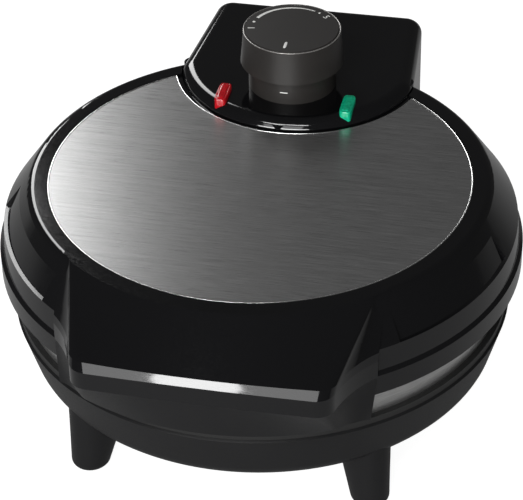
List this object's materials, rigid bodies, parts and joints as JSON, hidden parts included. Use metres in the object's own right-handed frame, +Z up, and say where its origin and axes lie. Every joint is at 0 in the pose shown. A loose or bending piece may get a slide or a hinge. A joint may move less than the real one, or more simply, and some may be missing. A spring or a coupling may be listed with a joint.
{
  "type": "waffle maker",
  "caption": "Round countertop waffle maker: hinged lid with steel inlay and sloping handle, dial and lamps at the back, heart-shaped waffle plates inside.",
  "frame": {"origin": "on the table, under the middle of the appliance's length and width", "axes": "+Z up, +Y towards the hinge and the dial, -Y towards the handle, +X to the right seen from the handle"},
  "size_m": [0.224, 0.259, 0.1404],
  "materials": {
    "base_plastic": "matt black moulded plastic, fine grain",
    "pad_rubber": "dark rubber",
    "liner_plastic": "matt black heat-resistant plastic",
    "screw_steel": "zinc-plated steel",
    "pin_steel": "turned steel",
    "gland_plastic": "black nylon",
    "terminal_ceramic": "off-white ceramic",
    "fuse_metal": "plated metal case",
    "plate_aluminium": "die-cast aluminium, bare on the rim, dark non-stick coat on the cooking face",
    "element_steel": "heat-stained steel tube",
    "pan_steel": "pressed aluminised sheet",
    "lid_gloss": "polished piano-black plastic",
    "grip_plastic": "matt black plastic",
    "brushed_inlay": "steel sheet brushed from side to side",
    "red_lens": "clear red plastic",
    "green_lens": "clear green plastic",
    "lamp_glass": "neon lamp glass",
    "knob_plastic": "dark grey satin plastic"
  },
  "bodies": {
    "base": {"base_shell": "base_plastic", "foot_pads": "pad_rubber", "base_liner": "liner_plastic", "base_screws": "screw_steel", "hinge_pins": "pin_steel", "cord_gland": "gland_plastic", "terminal_block": "terminal_ceramic", "thermal_fuse": "fuse_metal", "lower_plate": "plate_aluminium", "lower_element": "element_steel", "lower_pan": "pan_steel"},
    "lid": {"lid_shell": "lid_gloss", "handle_grip": "grip_plastic", "lid_inlay": "brushed_inlay", "lid_liner": "liner_plastic", "upper_plate": "plate_aluminium", "upper_element": "element_steel", "upper_pan": "pan_steel", "upper_plate_screws": "screw_steel", "housing_screws": "screw_steel", "handle_screws": "screw_steel", "control_housing": "lid_gloss", "red_lens": "red_lens", "green_lens": "green_lens", "indicator_lamps": "lamp_glass", "knob_collar": "knob_plastic", "thermostat": "terminal_ceramic"},
    "knob": {"knob": "knob_plastic", "thermostat_shaft": "pin_steel"}
  },
  "joints": [
    {"name": "lid_hinge", "type": "hinge", "parent": "base", "child": "lid", "pos_m": [0, 0.1085, 0.056], "axis": [-1, 0, 0], "range_deg": [0, 100]},
    {"name": "knob_turn", "type": "hinge", "parent": "lid", "child": "knob", "pos_m": [0, 0.0605, 0.13], "axis": [0, 0, 1], "range_deg": [-270, 0]}
  ]
}
